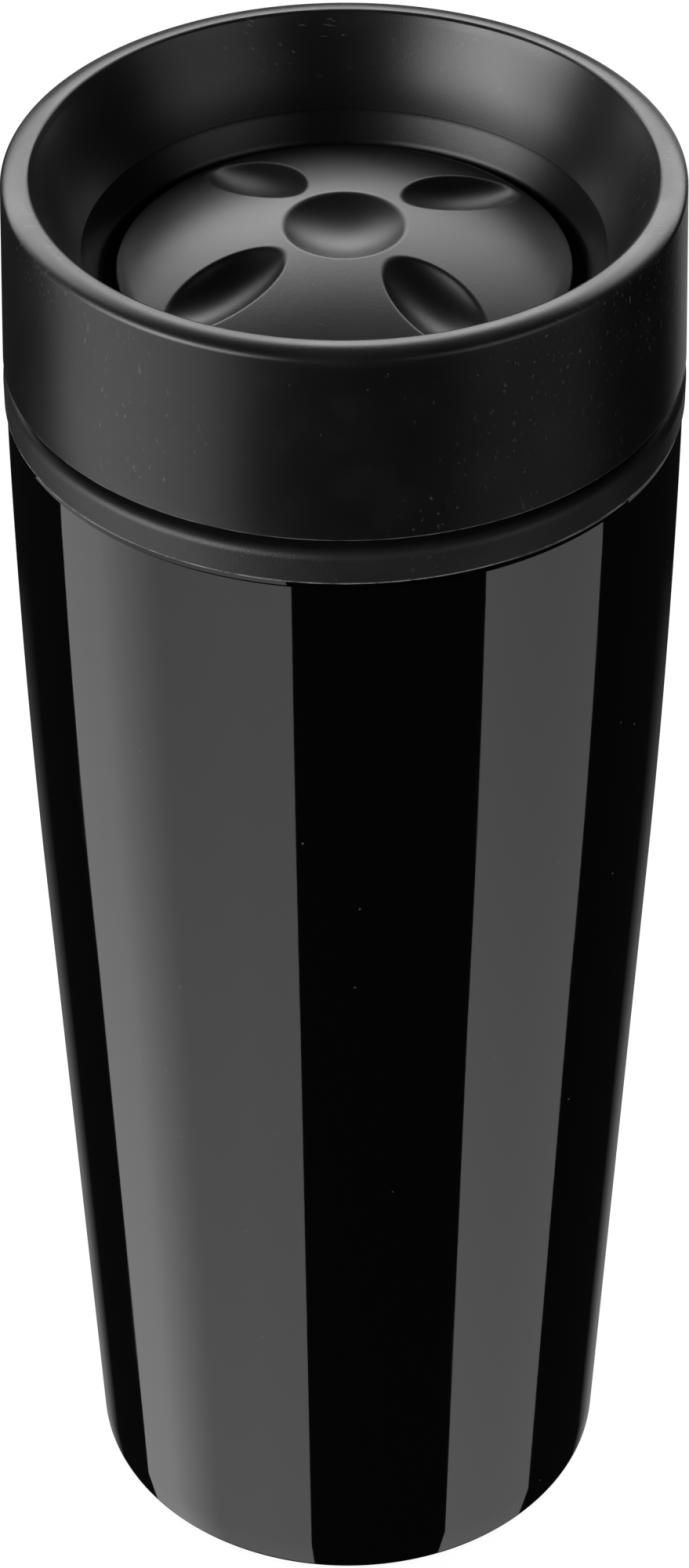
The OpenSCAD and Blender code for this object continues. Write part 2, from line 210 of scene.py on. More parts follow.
def helix_ridge(points, faces, wall_r, depth, root_w, tip_w, sweep, start_z, start_angle):
    """Adds one thread ridge, a trapezium swept up a cylinder, to points and faces."""
    steps = max(8, int(sweep / 3))
    bite = -0.4 if depth > 0 else 0.4
    fillet = 0.25 * (1 if depth > 0 else -1)
    lower = [(bite, -root_w / 2 - 0.15), (fillet * 0.3, -root_w / 2),
             (depth - fillet, -tip_w / 2 - 0.1), (depth, -tip_w / 2 + 0.12)]
    section = lower + [(r, -z) for r, z in reversed(lower)]
    size, base = len(section), len(points)
    for i in range(steps + 1):
        share = i / steps
        fade = min(1.0, min(share, 1 - share) * steps / 4 + 0.15)
        angle = math.radians(start_angle + sweep * share)
        z_mid = start_z + THREAD_LEAD * sweep * share / 360
        for dr, dz in section:
            r = wall_r + (dr if dr * depth < 0 else dr * fade)
            points.append((r * math.cos(angle), r * math.sin(angle), z_mid + dz))
    sides = ring_faces(steps + 1, size, base)
    first = tuple(range(base, base + size))
    last = tuple(range(base + steps * size, base + (steps + 1) * size))
    if depth < 0:
        faces += [side[::-1] for side in sides] + [first[::-1], last]
    else:
        faces += sides + [first, last[::-1]]


def thread(name, wall_r, depth, root_w, tip_w, sweep, start_z, start=0):
    """The ridges of a multi-start thread."""
    points, faces = [], []
    for i in range(THREAD_STARTS):
        turn = start + i * 360 / THREAD_STARTS
        helix_ridge(points, faces, wall_r, depth, root_w, tip_w, sweep, start_z, turn)
    return make_object(name, points, faces)


def join(name, *pieces):
    """One object from several."""
    bpy.ops.object.select_all(action="DESELECT")
    for piece in pieces:
        piece.select_set(True)
    bpy.context.view_layer.objects.active = pieces[0]
    bpy.ops.object.join()
    pieces[0].name = name
    return pieces[0]


def bevelled_box(name, low, high, round_mm):
    """A box in millimetres with rounded edges, from its low corner to its high one."""
    xs, ys, zs = zip(low, high)
    points = [(xs[i], ys[j], zs[k]) for i in (0, 1) for j in (0, 1) for k in (0, 1)]
    faces = [(0, 1, 3, 2), (4, 6, 7, 5), (0, 4, 5, 1), (2, 3, 7, 6), (0, 2, 6, 4), (1, 5, 7, 3)]
    piece = make_object(name, points, faces)
    bevel = piece.modifiers.new("bevel", "BEVEL")
    bevel.width, bevel.segments = round_mm * MM, 3
    bpy.context.view_layer.objects.active = piece
    piece.select_set(True)
    bpy.ops.object.modifier_apply(modifier="bevel")
    return piece


# ---------------------------------------------------------------- outlines

TAPER = (SHOULDER_R - BASE_R) / TAPER_H


def cone_r(z):
    """Radius of the body's straight cone at height z."""
    return BASE_R + TAPER * (z - SHELL_BOTTOM_Z)


def body_side(inset, steps=40):
    """The steel body's outside from the base lip to the neck, moved inwards by inset."""
    z0, round_r = SHELL_BOTTOM_Z, BASE_ROUND - inset / 2
    meet = z0 + TAPER_H
    side = [(BASE_LIP_R, z0 + inset)]
    side += arc(cone_r(z0 + BASE_ROUND) - inset - round_r, z0 + inset + round_r, round_r, -90, -2.65)
    side += [(cone_r(z) - inset, z) for z in np.linspace(z0 + BASE_ROUND + 4, meet - BLEND_HALF - 4, 6)]
    bend_z = meet - BLEND_HALF
    for z in np.linspace(bend_z, SHOULDER_Z - inset - 0.8, steps):
        rise = z - bend_z
        side.append((cone_r(bend_z) + TAPER * (rise - rise * rise / (4 * BLEND_HALF)) - inset, z))
    side += arc(SHOULDER_R - inset - 0.7, SHOULDER_Z - inset - 0.5, 0.5, 0, 90, 5)
    side.append((SHELL_NECK_R + SHELL_T - inset, SHOULDER_Z - inset))
    return side


def shell_outline():
    """The thin outer shell, outside and inside."""
    outer = body_side(0) + [(SHELL_NECK_R + SHELL_T, NECK_TOP_Z - 0.6)]
    inner = body_side(SHELL_T) + [(SHELL_NECK_R, NECK_TOP_Z - 0.6)]
    return outer + inner[::-1]


def liner_side(grow):
    """The cup's inside from the axis to below the mouth, moved outwards by grow."""
    corner = LINER_CORNER_R + grow
    z0 = LINER_FLOOR_Z + LINER_T - grow
    return ([(0, z0)] + arc(LINER_BASE_R - LINER_CORNER_R, z0 + corner, corner, -90, 0, 14)
            + [(MOUTH_R + grow, SHOULDER_Z - 1)])


def liner_outline():
    """The steel cup with the lip that closes the gap to the outer shell."""
    rim_z = NECK_TOP_Z - 0.6
    rim_r = COLLAR_BORE_R - 0.05
    rim = [(MOUTH_R, rim_z + 0.2)] + arc(MOUTH_R + 0.3, rim_z + LINER_T - 0.3, 0.3, 180, 90, 4)
    rim += arc(rim_r - 0.25, rim_z + LINER_T - 0.25, 0.25, 90, -90, 8) + [(MOUTH_R + LINER_T, rim_z)]
    return liner_side(LINER_T) + rim[::-1] + liner_side(0)[::-1]


def collar_outline():
    """The band between body and lid, with the upstand that carries the thread."""
    low = SHOULDER_Z + 0.05
    return ([(COLLAR_BORE_R, low), (BAND_R - 0.12, low)] + arc(BAND_R - 0.12, low + 0.12, 0.12, -90, 0, 3)
            + arc(BAND_R - BAND_ROUND, BAND_TOP_Z - BAND_ROUND, BAND_ROUND, 0, 90, 10)
            + arc(UPSTAND_R + 0.4, BAND_TOP_Z + 0.4, 0.4, 270, 180, 5)
            + arc(UPSTAND_R - 0.6, NECK_TOP_Z - 0.6, 0.6, 0, 90, 6) + [(COLLAR_BORE_R, NECK_TOP_Z)])


def funnel_r(z):
    """Radius of the lid's funnel at height z: a shallow hollow curve."""
    t = (z - JOINT_Z) / (TOP_Z - JOINT_Z)
    return JOINT_R + (RIM_INNER_R - JOINT_R) * (t + 0.12 * math.sin(math.pi * t) * (1 - t))


def cover_outline():
    """The lid's cover: skirt, outside wall, rim and funnel."""
    slope = (TOP_Z - JOINT_Z) / (RIM_INNER_R - JOINT_R)
    under_z = JOINT_Z + (SKIRT_BORE_R - JOINT_R - COVER_WALL) * slope
    edge_z = TOP_Z - RIM_EDGE_ROUND
    foot = [(SKIRT_BORE_R + 0.8, LID_Z), (LID_R - 0.3, LID_Z)]
    foot += arc(LID_R - LID_FOOT_ROUND, LID_Z + LID_FOOT_ROUND, LID_FOOT_ROUND, -90, 0, 4)
    wall_z = LID_Z + LID_FOOT_ROUND
    wall = [(LID_R + (LID_TOP_R - LID_R) * t, wall_z + (TOP_Z - RIM_ROUND - wall_z) * t)
            for t in np.linspace(0.1, 0.9, 6)]
    rim = [(LID_TOP_R - RIM_ROUND_W * (1 - math.cos(a)), TOP_Z - RIM_ROUND * (1 - math.sin(a)))
           for a in np.radians(np.linspace(0, 90, 19))]
    edge = arc(funnel_r(edge_z) + RIM_EDGE_ROUND, edge_z, RIM_EDGE_ROUND, 90, 152, 8)
    funnel = [(funnel_r(z), z) for z in np.linspace(edge_z - 0.3, JOINT_Z + 0.04, 30)]
    inside = [(JOINT_R + 0.04, JOINT_Z), (JOINT_R + COVER_WALL, JOINT_Z),
              (SKIRT_BORE_R, under_z), (SKIRT_BORE_R, LID_Z + 0.8)]
    return foot + wall + rim + edge + funnel + inside


def insert_outline():
    """The lid's insert: the funnel's lower end, the throat, the valve seat, the flange and the spigot."""
    drop = JOINT_Z - THROAT_Z
    ts = np.linspace(0.04, 0.9, 12)
    funnel = [(JOINT_R + 0.03, JOINT_Z)]
    funnel += [(JOINT_R + (THROAT_R - JOINT_R) * (0.92 * t + 0.08 * t * t), JOINT_Z - drop * t) for t in ts]
    throat_out_r = THROAT_R + THROAT_WALL
    throat = [(THROAT_R + 0.06, THROAT_Z - 0.1), (THROAT_R, THROAT_Z - 0.35), (THROAT_R, SEAT_Z + 0.5),
              (THROAT_R + 0.5, SEAT_Z), (throat_out_r - 0.2, SEAT_Z), (throat_out_r, SEAT_Z + 0.2),
              (throat_out_r, FLANGE_Z)]
    spigot_in_r, spigot_z = SPIGOT_R - SPIGOT_WALL, FLANGE_Z - SPIGOT_DEPTH
    spigot = [(spigot_in_r, FLANGE_Z), (spigot_in_r, spigot_z + SPIGOT_BEVEL),
              (spigot_in_r + SPIGOT_BEVEL, spigot_z), (SPIGOT_R - SPIGOT_BEVEL, spigot_z),
              (SPIGOT_R, spigot_z + SPIGOT_BEVEL), (SPIGOT_R, FLANGE_Z)]
    flange_r, flange_top_z = SKIRT_BORE_R - 0.02, FLANGE_Z + FLANGE_T
    flange = [(flange_r, FLANGE_Z), (flange_r, flange_top_z),
              (JOINT_R + COVER_WALL, flange_top_z), (JOINT_R + COVER_WALL, JOINT_Z)]
    return funnel + throat + spigot + flange


def rounded_ring(node, inset=0.25):
    """A ring with rounded corners that fills the box of a CAD node, between its bore and its rim."""
    low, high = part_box(node)
    out_r = high.x / MM
    bore = min(math.hypot(v.co.x, v.co.y) for v in frame["nodes"][node].data.vertices) / MM
    z0, z1 = low.z / MM, high.z / MM
    e = min(inset, (z1 - z0) * 0.3)
    return (arc(bore + e, z0 + e, e, 180, 270, 4) + arc(out_r - e, z0 + e, e, 270, 360, 4)
            + arc(out_r - e, z1 - e, e, 0, 90, 4) + arc(bore + e, z1 - e, e, 90, 180, 4))


# ---------------------------------------------------------------- the push button

DOME_RADIUS = (DOME_EDGE_R ** 2 + DOME_RISE ** 2) / (2 * DOME_RISE)
DOME_CENTRE_Z = DOME_EDGE_Z + DOME_RISE - DOME_RADIUS
DIMPLE_BALL_R = (DIMPLE_R ** 2 + DIMPLE_DEPTH ** 2) / (2 * DIMPLE_DEPTH)
DIMPLE_RIM = math.sqrt(DOME_RADIUS ** 2 - DIMPLE_R ** 2)
DIMPLE_CENTRE = DIMPLE_RIM - DIMPLE_DEPTH + DIMPLE_BALL_R
SCOOP_CORE_R = (SCOOP_HALF_W ** 2 + SCOOP_DEPTH ** 2) / (2 * SCOOP_DEPTH)
SCOOP_ARC_R = (SCOOP_HALF_L ** 2 + SCOOP_DEPTH ** 2) / (2 * SCOOP_DEPTH)
SCOOP_TILT = math.asin(SCOOP_MID_R / DOME_RADIUS)
EDGE_BLEND = 0.32     # how softly the scoops' edges are rounded, in millimetres
FAR = 1e3


def softest(a, b, blend):
    """The smaller of two distances, with the crease between them rounded."""
    h = np.clip(0.5 + 0.5 * (b - a) / blend, 0, 1)
    return b * (1 - h) + a * h - blend * h * (1 - h)


def dimple_reach(directions, grow):
    """Distance from the dome's centre to the dimple's floor along each direction."""
    ball = DIMPLE_BALL_R + grow
    along = directions[:, 2] * DIMPLE_CENTRE
    inside = along ** 2 - DIMPLE_CENTRE ** 2 + ball ** 2
    return np.where(inside > 0, along - np.sqrt(np.maximum(inside, 0)), FAR)


def scoop_reach(directions, turn, grow):
    """Distance from the dome's centre to one scoop's floor along each direction."""
    c, s = math.cos(turn), math.sin(turn)
    x = directions[:, 0] * c + directions[:, 1] * s
    y = directions[:, 1] * c - directions[:, 0] * s
    z = directions[:, 2]
    ct, st = math.cos(SCOOP_TILT), math.sin(SCOOP_TILT)
    along, up = x * ct - z * st, x * st + z * ct
    axis_h = DOME_RADIUS + SCOOP_CORE_R - SCOOP_DEPTH
    reach = np.full(len(x), DOME_RADIUS)
    for _ in range(8):
        sagging = (SCOOP_ARC_R + grow) ** 2 - (reach * along) ** 2
        core = np.sqrt(np.maximum(sagging, 0)) - (SCOOP_ARC_R - SCOOP_CORE_R)
        inside = np.where(core > 0, core ** 2 - (reach * y) ** 2, -1)
        reach = np.where(inside > 0, (axis_h - np.sqrt(np.maximum(inside, 0))) / np.maximum(up, 0.2), FAR)
        found = reach < FAR / 2
        reach = np.where(found, reach, DOME_RADIUS)
    return np.where(found & (inside > 0), reach, FAR)


def carved(points, grow):
    """Points of the button's skin, pulled in to the dimple and the scoops."""
    centre = np.array([0, 0, DOME_CENTRE_Z])
    rays = points - centre
    length = np.linalg.norm(rays, axis=1)
    directions = rays / length[:, None]
    reach = softest(length, dimple_reach(directions, grow), EDGE_BLEND)
    for i in range(SCOOP_COUNT):
        turn = SCOOP_START + i * 2 * math.pi / SCOOP_COUNT
        reach = softest(reach, scoop_reach(directions, turn, grow), EDGE_BLEND)
    return centre + directions * reach[:, None]


def button_skin(rings, around, wall):
    """Rings of points from the axis outwards over the button's top or, with a wall, the hollow under it."""
    dome_r = DOME_RADIUS - wall
    last = math.asin((DOME_EDGE_R - wall) / dome_r) - 0.012
    leans = np.linspace(0, last, rings)[1:]
    skin = [(dome_r * math.sin(a), DOME_CENTRE_Z + dome_r * math.cos(a)) for a in leans]
    edge_z = DOME_EDGE_Z - wall
    skin += arc(BUTTON_R - wall - BUTTON_ROUND, edge_z - BUTTON_ROUND, BUTTON_ROUND, 50, 0, 6)
    angles = np.linspace(0, 2 * math.pi, around, endpoint=False)
    points = np.array([(r * math.cos(a), r * math.sin(a), z) for r, z in skin for a in angles])
    return carved(points, wall), len(skin)


def button_mesh(name, rings=150, around=540, under_rings=60):
    """The domed button: carved top, side wall, and the matching hollow underneath."""
    low = DOME_EDGE_Z - BUTTON_SKIRT
    top, top_rows = button_skin(rings, around, 0)
    under, under_rows = button_skin(under_rings, around, BUTTON_WALL)
    angles = np.linspace(0, 2 * math.pi, around, endpoint=False)
    skirt = [(BUTTON_R, z) for z in np.linspace(DOME_EDGE_Z - 1.5, low + 0.3, 4)]
    inner_r = BUTTON_R - BUTTON_WALL
    skirt += [(BUTTON_R - 0.3, low), (inner_r + 0.3, low), (inner_r, low + 0.3)]
    side = np.array([(r * math.cos(a), r * math.sin(a), z) for r, z in skirt for a in angles])
    under = under.reshape(under_rows, around, 3)[::-1].reshape(-1, 3)
    tip = carved(np.array([[0, 0, DOME_CENTRE_Z + DOME_RADIUS]]), 0)
    root = carved(np.array([[0, 0, DOME_CENTRE_Z + DOME_RADIUS - BUTTON_WALL]]), BUTTON_WALL)
    points = np.vstack([tip, top, side, under, root])
    rows = top_rows + len(skirt) + under_rows
    faces = ring_faces(rows, around, first=1)
    last = len(points) - 1
    for k in range(around):
        n = (k + 1) % around
        faces.append((0, 1 + k, 1 + n))
        faces.append((last, 1 + (rows - 1) * around + n, 1 + (rows - 1) * around + k))
    return make_object(name, points.tolist(), faces, sharp=math.radians(40))


# ---------------------------------------------------------------- materials


class Shader:
    """A Principled material whose colour, roughness and bump come from procedural nodes."""

    def __init__(self, name, colour, roughness, metallic=0.0):
        self.material = bpy.data.materials.new(name)
        self.material.use_nodes = True
        self.tree = self.material.node_tree
        self.surface = self.tree.nodes["Principled BSDF"]
        self.colour, self.roughness, self.height = colour, roughness, None
        self.set("Base Color", (*colour, 1))
        self.set("Roughness", roughness)
        self.set("Metallic", metallic)
        self.place = self.add("ShaderNodeTexCoord").outputs["Object"]

    def add(self, kind, **settings):
        node = self.tree.nodes.new(kind)
        for key, value in settings.items():
            setattr(node, key, value)
        return node

    def set(self, socket, value):
        self.surface.inputs[socket].default_value = value

    def link(self, output, target):
        self.tree.links.new(output, target)

    def noise(self, scale, detail=3.0, stretch=(1, 1, 1), turn=(0, 0, 0), distortion=0.0, roughness=0.5):
        """Noise with features about 1/scale metres long."""
        mapping = self.add("ShaderNodeMapping")
        mapping.inputs["Scale"].default_value = stretch
        mapping.inputs["Rotation"].default_value = turn
        self.link(self.place, mapping.inputs["Vector"])
        node = self.add("ShaderNodeTexNoise")
        node.inputs["Scale"].default_value = scale
        node.inputs["Detail"].default_value = detail
        node.inputs["Distortion"].default_value = distortion
        node.inputs["Roughness"].default_value = roughness
        self.link(mapping.outputs["Vector"], node.inputs["Vector"])
        return node.outputs["Fac"]

    def cells(self, scale):
        """Distance to the middle of cells about 1/scale metres across."""
        node = self.add("ShaderNodeTexVoronoi")
        node.inputs["Scale"].default_value = scale
        self.link(self.place, node.inputs["Vector"])
        return node.outputs["Distance"]

    def remap(self, value, low, high, to_low=0.0, to_high=1.0):
        """Eases a value from to_low to to_high as it goes from low to high."""
        node = self.add("ShaderNodeMapRange", interpolation_type="SMOOTHSTEP")
        ends = {"From Min": low, "From Max": high, "To Min": to_low, "To Max": to_high}
        for socket, number in ends.items():
            node.inputs[socket].default_value = number
        self.link(value, node.inputs["Value"])
        return node.outputs["Result"]

    def math(self, operation, a, b=None):
        node = self.add("ShaderNodeMath", operation=operation)
        for socket, value in zip(node.inputs, (a, b)):
            if value is None:
                continue
            if isinstance(value, (int, float)):
                socket.default_value = value
            else:
                self.link(value, socket)
        return node.outputs["Value"]

    def tint(self, mask, colour):
        """Mixes a second colour in by a mask from 0 to 1."""
        node = self.add("ShaderNodeMix", data_type="RGBA")
        before = self.surface.inputs["Base Color"]
        if before.is_linked:
            self.link(before.links[0].from_socket, node.inputs["A"])
        else:
            node.inputs["A"].default_value = tuple(before.default_value)
        node.inputs["B"].default_value = (*colour, 1)
        self.link(mask, node.inputs["Factor"])
        self.link(node.outputs["Result"], before)

    def roughen(self, value):
        """Adds a changing amount to the roughness."""
        before = self.surface.inputs["Roughness"]
        start = before.links[0].from_socket if before.is_linked else before.default_value
        self.link(self.math("ADD", start, value), before)

    def bump(self, height, depth_mm):
        """Raises the surface by height (0 to 1) times depth_mm."""
        node = self.add("ShaderNodeBump")
        node.inputs["Distance"].default_value = depth_mm * MM
        self.link(height, node.inputs["Height"])
        before = self.surface.inputs["Normal"]
        if before.is_linked:
            self.link(before.links[0].from_socket, node.inputs["Normal"])
        self.link(node.outputs["Normal"], before)


def moulded_plastic(name, colour, roughness, grain_mm, grain_size, mottle, scuffs):
    """Black moulded plastic: spark-eroded grain, faint flow mottling, handling marks and hairline scuffs."""
    m = Shader(name, colour, roughness)
    m.set("Specular IOR Level", 0.5)
    m.bump(m.noise(1 / (grain_size * MM), detail=4, roughness=0.6), grain_mm)
    blotches = m.remap(m.noise(45, detail=5, distortion=0.6), 0.35, 0.68)
    m.roughen(m.math("MULTIPLY", blotches, mottle))
    m.tint(m.remap(m.noise(120, detail=4), 0.42, 0.75, 0, 0.5), tuple(c * 1.7 + 0.002 for c in colour))
    if scuffs:
        lines = m.noise(420, detail=2, stretch=(1, 9, 2.2), turn=(0.3, 0.2, 0.7), distortion=0.4)
        patches = m.remap(m.noise(28, detail=2), 0.5, 0.66)
        mask = m.math("MULTIPLY", m.remap(lines, 0.66, 0.72), patches)
        m.tint(m.math("MULTIPLY", mask, scuffs), (0.09, 0.09, 0.088))
        m.roughen(m.math("MULTIPLY", mask, -0.08))
    specks = m.remap(m.cells(260), 0.045, 0.02)
    m.tint(m.math("MULTIPLY", specks, 0.15), (0.16, 0.15, 0.14))
    return m


def gloss_lacquer():
    """High-gloss black lacquer over steel, with a hint of orange peel, fine dust and wipe marks."""
    m = Shader("gloss_black_lacquer", (0.0012, 0.0012, 0.0013), 0.028)
    m.set("Specular IOR Level", 0.5)
    m.bump(m.noise(330, detail=2), 0.0012)
    wipes = m.remap(m.noise(60, detail=4, stretch=(1, 1, 0.25), distortion=0.8), 0.52, 0.8)
    m.roughen(m.math("MULTIPLY", wipes, 0.03))
    specks = m.remap(m.cells(150), 0.03, 0.012)
    m.tint(m.math("MULTIPLY", specks, 0.5), (0.12, 0.12, 0.11))
    m.roughen(m.math("MULTIPLY", specks, 0.3))
    return m


def brushed_steel():
    """Stainless steel with the fine rings that polishing on a spindle leaves."""
    m = Shader("spun_stainless_steel", (0.56, 0.555, 0.55), 0.24, metallic=1.0)
    rings = m.noise(900, detail=3, stretch=(0.02, 0.02, 4))
    m.bump(rings, 0.006)
    m.roughen(m.remap(rings, 0.3, 0.7, -0.05, 0.09))
    m.tint(m.remap(m.noise(35, detail=4), 0.4, 0.7, 0, 0.5), (0.47, 0.46, 0.45))
    return m


def drawn_wire():
    """Bright drawn stainless wire and turned screw heads."""
    m = Shader("drawn_stainless_wire", (0.6, 0.6, 0.6), 0.18, metallic=1.0)
    m.roughen(m.remap(m.noise(1500, detail=3), 0.3, 0.7, -0.04, 0.1))
    m.bump(m.noise(2500, detail=2), 0.004)
    m.tint(m.remap(m.noise(300, detail=3), 0.5, 0.75, 0, 0.6), (0.42, 0.41, 0.4))
    return m


def crinkled_foil():
    """Thin bright foil, creased where it was wrapped."""
    m = Shader("crinkled_foil", (0.82, 0.82, 0.83), 0.22, metallic=1.0)
    m.bump(m.cells(240), 0.25)
    m.bump(m.noise(700, detail=4), 0.03)
    m.roughen(m.remap(m.noise(200, detail=3), 0.3, 0.7, -0.05, 0.12))
    m.tint(m.remap(m.cells(120), 0.1, 0.6, 0, 0.4), (0.6, 0.6, 0.62))
    return m


def sintered_metal():
    """Dull grey pressed powder of the getter."""
    m = Shader("sintered_getter", (0.1, 0.1, 0.105), 0.7, metallic=0.6)
    grain = m.noise(2600, detail=5, roughness=0.7)
    m.bump(grain, 0.06)
    m.tint(m.remap(grain, 0.4, 0.7), (0.24, 0.24, 0.25))
    m.roughen(m.remap(grain, 0.3, 0.7, -0.1, 0.1))
    return m


def fused_glass():
    """The bead of solder glass in the vacuum port."""
    m = Shader("fused_glass_bead", (0.42, 0.52, 0.54), 0.06)
    m.set("Transmission Weight", 0.6)
    m.set("IOR", 1.52)
    m.tint(m.remap(m.noise(1800, detail=3), 0.45, 0.7, 0, 0.6), (0.2, 0.28, 0.3))
    m.bump(m.noise(900, detail=2), 0.03)
    m.roughen(m.remap(m.noise(700), 0.4, 0.7, 0, 0.08))
    return m


def silicone_rubber(name, colour, roughness):
    """Moulded silicone: soft, slightly dusty, with a faint mould texture."""
    m = Shader(name, colour, roughness)
    m.set("Specular IOR Level", 0.4)
    m.set("Sheen Weight", 0.12)
    m.set("Sheen Roughness", 0.6)
    m.bump(m.noise(1800, detail=4, roughness=0.6), 0.02)
    dust = m.remap(m.noise(160, detail=5), 0.5, 0.72)
    m.tint(m.math("MULTIPLY", dust, 0.14), tuple(min(1, c * 1.6 + 0.03) for c in colour))
    m.roughen(m.math("MULTIPLY", dust, 0.08))
    return m


def natural_acetal():
    """Off-white engineering plastic of the latch."""
    m = Shader("natural_acetal", (0.72, 0.7, 0.65), 0.38)
    m.set("Subsurface Weight", 0.12)
    m.set("Subsurface Scale", 0.002)
    m.bump(m.noise(1400, detail=3), 0.012)
    m.tint(m.remap(m.noise(90, detail=3), 0.4, 0.7, 0, 0.6), (0.66, 0.63, 0.56))
    m.roughen(m.remap(m.noise(400, detail=3), 0.3, 0.7, -0.05, 0.08))
    return m


def rim_wear(m):
    """Polishes the plastic a little where lips and cups rub its top edge."""
    split = m.add("ShaderNodeSeparateXYZ")
    m.link(m.place, split.inputs["Vector"])
    high = m.remap(split.outputs["Z"], (TOP_Z - 2.2) * MM, (TOP_Z - 0.2) * MM)
    patches = m.remap(m.noise(90, detail=4), 0.4, 0.65, 0.25, 1.0)
    worn = m.math("MULTIPLY", high, patches)
    m.roughen(m.math("MULTIPLY", worn, -0.06))
    m.tint(m.math("MULTIPLY", worn, 0.15), (0.05, 0.05, 0.05))
    return m


def painted_edge_highlight(m, low_z, high_z, amount):
    """A painted highlight: a thin pale line where a moulded edge catches the light, broken up along it."""
    split = m.add("ShaderNodeSeparateXYZ")
    m.link(m.place, split.inputs["Vector"])
    across = m.remap(split.outputs["Z"], low_z * MM, high_z * MM, 1.0, 0.0)
    breaks = m.remap(m.noise(220, detail=5, roughness=0.7), 0.38, 0.62, 0.15, 1.0)
    mask = m.math("MULTIPLY", across, breaks)
    m.tint(m.math("MULTIPLY", mask, amount), (0.3, 0.3, 0.29))
    m.roughen(m.math("MULTIPLY", mask, 0.15))
    return m


satin_lid = moulded_plastic("satin_black_lid", (0.0022, 0.0022, 0.0022), 0.3, 0.010, 0.22, 0.04, 0.5)
matt_collar = moulded_plastic("matt_black_collar", (0.006, 0.006, 0.0062), 0.42, 0.03, 0.3, 0.08, 0.2)
satin_button = moulded_plastic("satin_black_button", (0.004, 0.004, 0.0041), 0.34, 0.014, 0.22, 0.05, 0.45)
MATERIALS = {
    "lacquer": gloss_lacquer().material,
    "steel": brushed_steel().material,
    "foil": crinkled_foil().material,
    "getter_metal": sintered_metal().material,
    "seal_glass": fused_glass().material,
    # The lid's lower edge gets a painted highlight line, which partly also stands for a trace of parting
    # flash
    "lid_plastic": painted_edge_highlight(rim_wear(satin_lid), LID_Z + 0.06, LID_Z + 0.24, 0.5).material,
    # The collar's lower edge gets a painted highlight line where it meets the shell
    "collar_plastic": painted_edge_highlight(matt_collar, SHOULDER_Z + 0.1, SHOULDER_Z + 0.32, 0.8).material,
    "button_plastic": satin_button.material,
    "valve_plastic": natural_acetal().material,
    "silicone": silicone_rubber("grey_silicone", (0.27, 0.27, 0.27), 0.5).material,
    "foot_rubber": silicone_rubber("black_silicone", (0.018, 0.018, 0.018), 0.6).material,
    "spring_steel": drawn_wire().material,
}
SLOT_OF = {s["node"]: s["material_slot"] for s in frame["record"]["subparts"]}
BODY_OF = {n: b for b, ns in frame["record"]["behaviour"]["bodies"].items() for n in ns}


def finish_piece(piece, node):
    """A new piece takes its node's place: its body, its slot and its material."""
    piece.data.materials.clear()
    piece.data.materials.append(MATERIALS[SLOT_OF[node]])
    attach(piece, BODY_OF[node])
    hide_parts(node)
    return piece


for node, cad in frame["nodes"].items():
    cad.data.materials.clear()
    cad.data.materials.append(MATERIALS[SLOT_OF[node]])

# ---------------------------------------------------------------- the tumbler

shell = finish_piece(lathe("shell_skin", inset_outline(shell_outline())), "outer_shell")
finish_piece(lathe("liner_cup", inset_outline(liner_outline())), "inner_liner")
collar = join("collar_band", lathe("collar_ring", inset_outline(collar_outline())),
              thread("collar_thread", UPSTAND_R, RIDGE_DEPTH, 1.6, 0.7, 150, RIDGE_Z))
finish_piece(collar, "neck_collar")
finish_piece(lathe("shoulder_seal_ring", rounded_ring("collar_seal")), "collar_seal")


def foot_outline():
    """The foot pad, with a groove round its underside and a recess on top for the vacuum port."""
    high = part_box("foot_pad")[1]
    pad_r, top, groove = high.x / MM, high.z / MM, 0.4
    groove_in, groove_out, port_r = pad_r - 5, pad_r - 2, 7
    under = [(0, 0), (groove_in - 0.2, 0), (groove_in, 0.15), (groove_in, groove), (groove_out, groove),
             (groove_out, 0.15), (groove_out + 0.2, 0), (pad_r - 0.5, 0)]
    upper = [(pad_r, top), (port_r, top), (port_r, top - 1), (0, top - 1)]
    return under + arc(pad_r - 0.5, 0.5, 0.5, -90, 0, 5) + upper


finish_piece(lathe("foot_pad_disc", foot_outline()), "foot_pad")

# ---------------------------------------------------------------- the lid

cover = join("lid_shell", lathe("lid_wall", inset_outline(cover_outline())),
             thread("lid_lugs", SKIRT_BORE_R, -RIDGE_DEPTH, 1.4, 0.6, 60,
                    RIDGE_Z - LUG_DROP + THREAD_LEAD * LUG_START / 360, LUG_START))
finish_piece(cover, "lid_cover")


def hub_outline():
    """The spider's hub: a cup that the stem passes through."""
    bore_r, cup_r = 4.05, 8.6
    low, floor_z, high = SEAT_Z - 0.7, SEAT_Z + 1.9, SEAT_Z + 6.5
    return [(bore_r, low), (HUB_R - 0.4, low), (HUB_R, low + 0.4), (HUB_R, high - 0.3),
            (HUB_R - 0.3, high), (cup_r, high), (cup_r, floor_z), (bore_r, floor_z)]


spider = [lathe("insert_ring", insert_outline()), lathe("insert_hub", hub_outline(), 96)]
for i in range(ARM_COUNT):
    arm_low = (HUB_R - 0.8, -ARM_W / 2, SEAT_Z + 2.5)
    arm_high = (THROAT_R + 0.8, ARM_W / 2, SEAT_Z + 6)
    arm = bevelled_box(f"insert_arm_{i}", arm_low, arm_high, ARM_ROUND)
    arm.data.transform(Matrix.Rotation(math.radians(90 + i * 360 / ARM_COUNT), 4, "Z"))
    spider.append(arm)
finish_piece(join("lid_throat", *spider), "lid_insert")

finish_piece(lathe("mouth_gasket", rounded_ring("lid_gasket", 0.4)), "lid_gasket")
finish_piece(lathe("valve_lip_seal", rounded_ring("valve_seal", 0.3)), "valve_seal")
finish_piece(button_mesh("domed_button"), "press_button")


